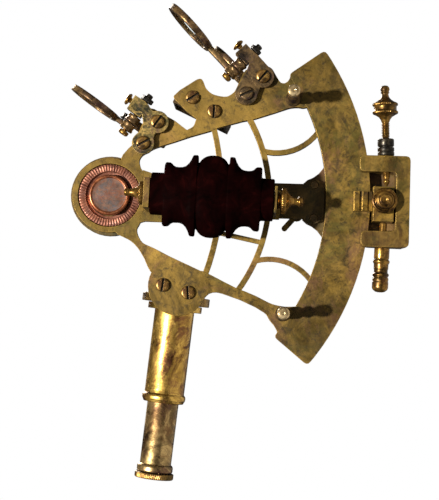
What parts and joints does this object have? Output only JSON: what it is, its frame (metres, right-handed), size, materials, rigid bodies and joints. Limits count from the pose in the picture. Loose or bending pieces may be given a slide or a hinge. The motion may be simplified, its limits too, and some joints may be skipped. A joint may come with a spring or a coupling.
{
  "type": "nautical sextant",
  "caption": "Brass marine sextant with a swinging index arm, index and horizon mirrors, hinged shades, a draw-tube telescope, a clamp with tangent screw, feet and a wooden handle.",
  "frame": {"origin": "centre of the handle's grip, where the hand holds it", "axes": "+X along the line of sight from the eyepiece to the horizon, +Y from the handle's side to the mirrors' side, square to the frame's plate, +Z from the limb up to the pivot"},
  "size_m": [0.3001, 0.0982, 0.2152],
  "materials": {
    "olive_brass": "patinated",
    "gold_brass": "worn polish",
    "dark_brass": "dark patina",
    "copper": "copper patina",
    "dark_steel": "blackened",
    "silvered": "satin silvered",
    "rosewood": "waxed",
    "mirror": "silvered glass",
    "clear_glass": "clear",
    "green_glass": "tinted",
    "red_glass": "tinted"
  },
  "bodies": {
    "frame_body": {"frame": "olive_brass", "arc_scale": "silvered", "foot_upper": "olive_brass", "foot_lower": "olive_brass", "bearing_bush": "gold_brass", "pivot_cover": "copper", "handle_grip": "rosewood", "handle_bolt": "gold_brass", "finial_nut": "gold_brass", "handle_bracket_inner": "olive_brass", "handle_bracket_outer": "olive_brass", "telescope_bracket": "gold_brass", "telescope_tube": "gold_brass", "objective_lens": "clear_glass", "telescope_screw_1": "olive_brass", "telescope_screw_2": "olive_brass", "horizon_mirror_bracket": "olive_brass", "horizon_mirror_glass": "mirror", "horizon_screw_1": "olive_brass", "horizon_screw_2": "olive_brass", "index_shade_bracket": "olive_brass", "index_shade_screw_1": "olive_brass", "index_shade_screw_2": "olive_brass", "index_shade_hinge_pin": "dark_steel", "index_shade_tension_screw": "olive_brass", "horizon_shade_bracket": "dark_brass", "horizon_shade_screw_1": "dark_brass", "horizon_shade_screw_2": "dark_brass", "horizon_shade_hinge_pin": "dark_steel", "horizon_shade_tension_screw": "olive_brass"},
    "index_arm_body": {"index_arm": "olive_brass", "pivot_shaft": "gold_brass", "pivot_cap": "copper", "index_mirror_bracket": "olive_brass", "index_mirror_glass": "mirror", "vernier_plate": "olive_brass", "tangent_bracket": "olive_brass", "tangent_locknut": "dark_steel", "plunger_barrel": "olive_brass", "magnifier_pivot": "dark_brass"},
    "clamp_body": {"clamp_block": "gold_brass", "clamp_jaw": "gold_brass"},
    "clamp_screw_body": {"clamp_screw": "gold_brass"},
    "tangent_tip_body": {"tangent_tip": "gold_brass"},
    "tangent_screw_body": {"tangent_screw": "gold_brass"},
    "plunger_body": {"plunger": "gold_brass"},
    "magnifier_body": {"magnifier_arm": "olive_brass", "magnifier_lens": "clear_glass"},
    "draw_tube_body": {"draw_tube": "gold_brass", "eyepiece_cap": "dark_brass", "eyepiece_lens": "clear_glass"},
    "index_shade_1_body": {"index_shade_ring_1": "olive_brass", "index_shade_glass_1": "green_glass"},
    "index_shade_2_body": {"index_shade_ring_2": "olive_brass", "index_shade_glass_2": "red_glass"},
    "horizon_shade_1_body": {"horizon_shade_ring_1": "dark_brass", "horizon_shade_glass_1": "green_glass"},
    "horizon_shade_2_body": {"horizon_shade_ring_2": "dark_brass", "horizon_shade_glass_2": "red_glass"}
  },
  "joints": [
    {"name": "index_arm_swing", "type": "hinge", "parent": "frame_body", "child": "index_arm_body", "pos_m": [0, 0.028, 0.0647], "axis": [0, -1, 0], "range_deg": [-31.7, 28.3]},
    {"name": "fine_adjust", "type": "hinge", "parent": "index_arm_body", "child": "clamp_body", "pos_m": [0, 0.028, 0.0647], "axis": [0, -1, 0], "range_deg": [-1.6, 1.6]},
    {"name": "clamp_screw_turn", "type": "hinge", "parent": "clamp_body", "child": "clamp_screw_body", "pos_m": [0.00505, 0.023, -0.10533], "axis": [0, -1, 0], "range_deg": [-60, 200]},
    {"name": "tangent_tip_slide", "type": "slide", "parent": "index_arm_body", "child": "tangent_tip_body", "axis": [0.9977, 0, 0.068], "range_m": [-0.00495, 0.00495]},
    {"name": "tangent_screw_turn", "type": "hinge", "parent": "tangent_tip_body", "child": "tangent_screw_body", "pos_m": [0.01469, 0.023, -0.10684], "axis": [0.9977, 0, 0.068], "range_deg": [-1800, 1800]},
    {"name": "plunger_slide", "type": "slide", "parent": "index_arm_body", "child": "plunger_body", "axis": [-1, 0, 0], "range_m": [-0.00495, 0.00495]},
    {"name": "magnifier_swing", "type": "hinge", "parent": "index_arm_body", "child": "magnifier_body", "pos_m": [-0.00461, 0.042, -0.05299], "axis": [0, -1, 0], "range_deg": [-20, 20]},
    {"name": "draw_tube_slide", "type": "slide", "parent": "frame_body", "child": "draw_tube_body", "axis": [-0.9979, 0, 0.0645], "range_m": [-0.03, 0.012]},
    {"name": "index_shade_1_swing", "type": "hinge", "parent": "frame_body", "child": "index_shade_1_body", "pos_m": [0.0402, 0.0285, 0.0583], "axis": [-0.8415, 0, 0.5402], "range_deg": [0, 104]},
    {"name": "index_shade_2_swing", "type": "hinge", "parent": "frame_body", "child": "index_shade_2_body", "pos_m": [0.0402, 0.0285, 0.0583], "axis": [-0.8415, 0, 0.5402], "range_deg": [-103, 1]},
    {"name": "horizon_shade_1_swing", "type": "hinge", "parent": "frame_body", "child": "horizon_shade_1_body", "pos_m": [0.0786, 0.0285, -0.0041], "axis": [-0.7193, 0, 0.6947], "range_deg": [0, 118]},
    {"name": "horizon_shade_2_swing", "type": "hinge", "parent": "frame_body", "child": "horizon_shade_2_body", "pos_m": [0.0786, 0.0285, -0.0041], "axis": [-0.7193, 0, 0.6947], "range_deg": [-80, 22]}
  ],
  "couplings": [
    {"joint": "tangent_tip_slide", "follows": "fine_adjust", "m_per_rad": 0.17},
    {"joint": "plunger_slide", "follows": "fine_adjust", "m_per_rad": -0.17},
    {"joint": "tangent_screw_turn", "follows": "fine_adjust", "ratio": -1068.1}
  ]
}
